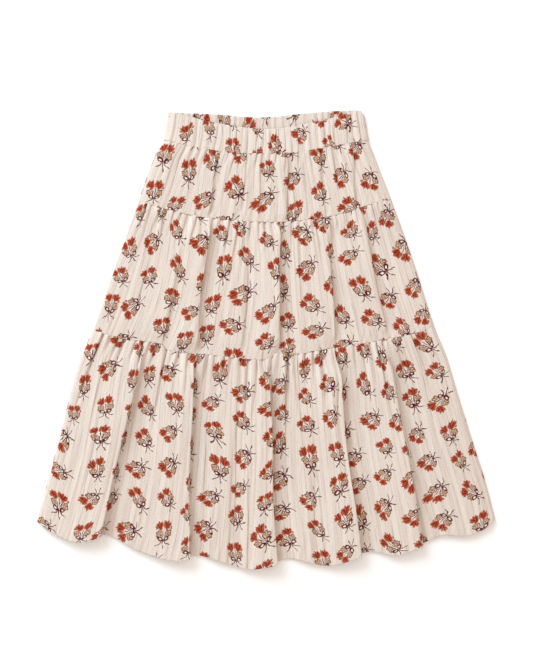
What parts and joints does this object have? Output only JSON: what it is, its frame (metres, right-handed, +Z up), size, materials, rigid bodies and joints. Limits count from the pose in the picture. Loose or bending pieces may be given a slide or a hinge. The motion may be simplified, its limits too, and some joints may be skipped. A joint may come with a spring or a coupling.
{
  "type": "tiered ruffle skirt, laid flat",
  "caption": "Girl's A-line skirt laid flat: elastic waistband over gathered tiers of crinkled cotton with a tossed posy print and a wavy hem.",
  "frame": {"origin": "on the floor under the middle of the flat skirt's outline", "axes": "+Z up out of the front, +Y towards the waist, +X to the right of the front as it is seen"},
  "size_m": [0.6229, 0.6237, 0.0169],
  "materials": {
    "printed_cotton": "matte",
    "sewing_thread": "satin"
  },
  "bodies": {
    "root": {"waistband_front": "printed_cotton", "waistband_back": "printed_cotton", "upper_tier_front": "printed_cotton", "upper_tier_back": "printed_cotton", "middle_tier_front": "printed_cotton", "middle_tier_back": "printed_cotton", "lower_tier_front": "printed_cotton", "lower_tier_back": "printed_cotton"}
  },
  "joints": []
}
